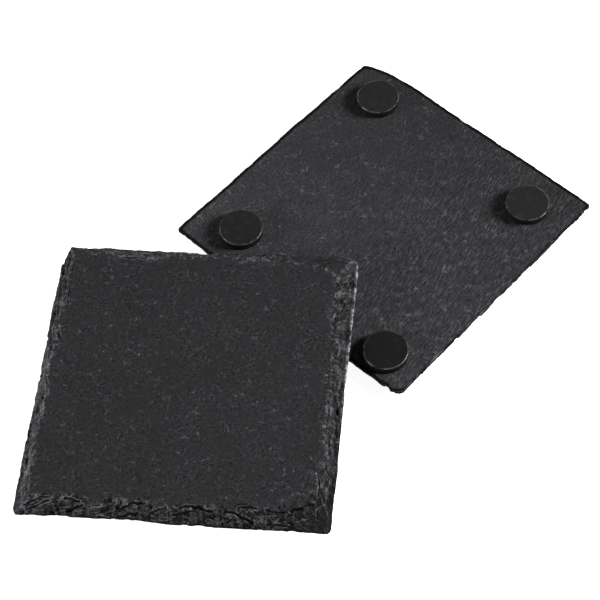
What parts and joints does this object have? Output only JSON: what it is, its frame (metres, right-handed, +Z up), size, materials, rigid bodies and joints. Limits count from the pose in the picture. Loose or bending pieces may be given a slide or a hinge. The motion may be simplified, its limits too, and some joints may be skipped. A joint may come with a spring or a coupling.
{
  "type": "drink coaster",
  "caption": "Square slate drink coaster with chipped edges, face up, leaning on a matching one that lies upturned and shows its round foam feet.",
  "frame": {"origin": "middle of the box round both coasters, on the table that they lie on", "axes": "+Z up, +X along the face-up coaster's front edge to its right, +Y away from that edge"},
  "size_m": [0.1758, 0.188, 0.0133],
  "materials": {
    "slate": "riven, dull",
    "foam": "matte foam",
    "adhesive": "clear adhesive film"
  },
  "bodies": {
    "upturned_coaster": {"upturned_slate": "slate", "upturned_foot_rear": "foam", "upturned_foot_right": "foam", "upturned_foot_front": "foam", "upturned_foot_left": "foam", "upturned_adhesive_rear": "adhesive", "upturned_adhesive_right": "adhesive", "upturned_adhesive_front": "adhesive", "upturned_adhesive_left": "adhesive"},
    "upright_coaster": {"upright_slate": "slate", "upright_foot_front_left": "foam", "upright_foot_front_right": "foam", "upright_foot_rear_right": "foam", "upright_foot_rear_left": "foam", "upright_adhesive_front_left": "adhesive", "upright_adhesive_front_right": "adhesive", "upright_adhesive_rear_right": "adhesive", "upright_adhesive_rear_left": "adhesive"}
  },
  "joints": [
    {"name": "upright_lift", "type": "slide", "parent": "upturned_coaster", "child": "upright_coaster", "axis": [0, 0, 1], "range_m": [0, 0.06]}
  ]
}
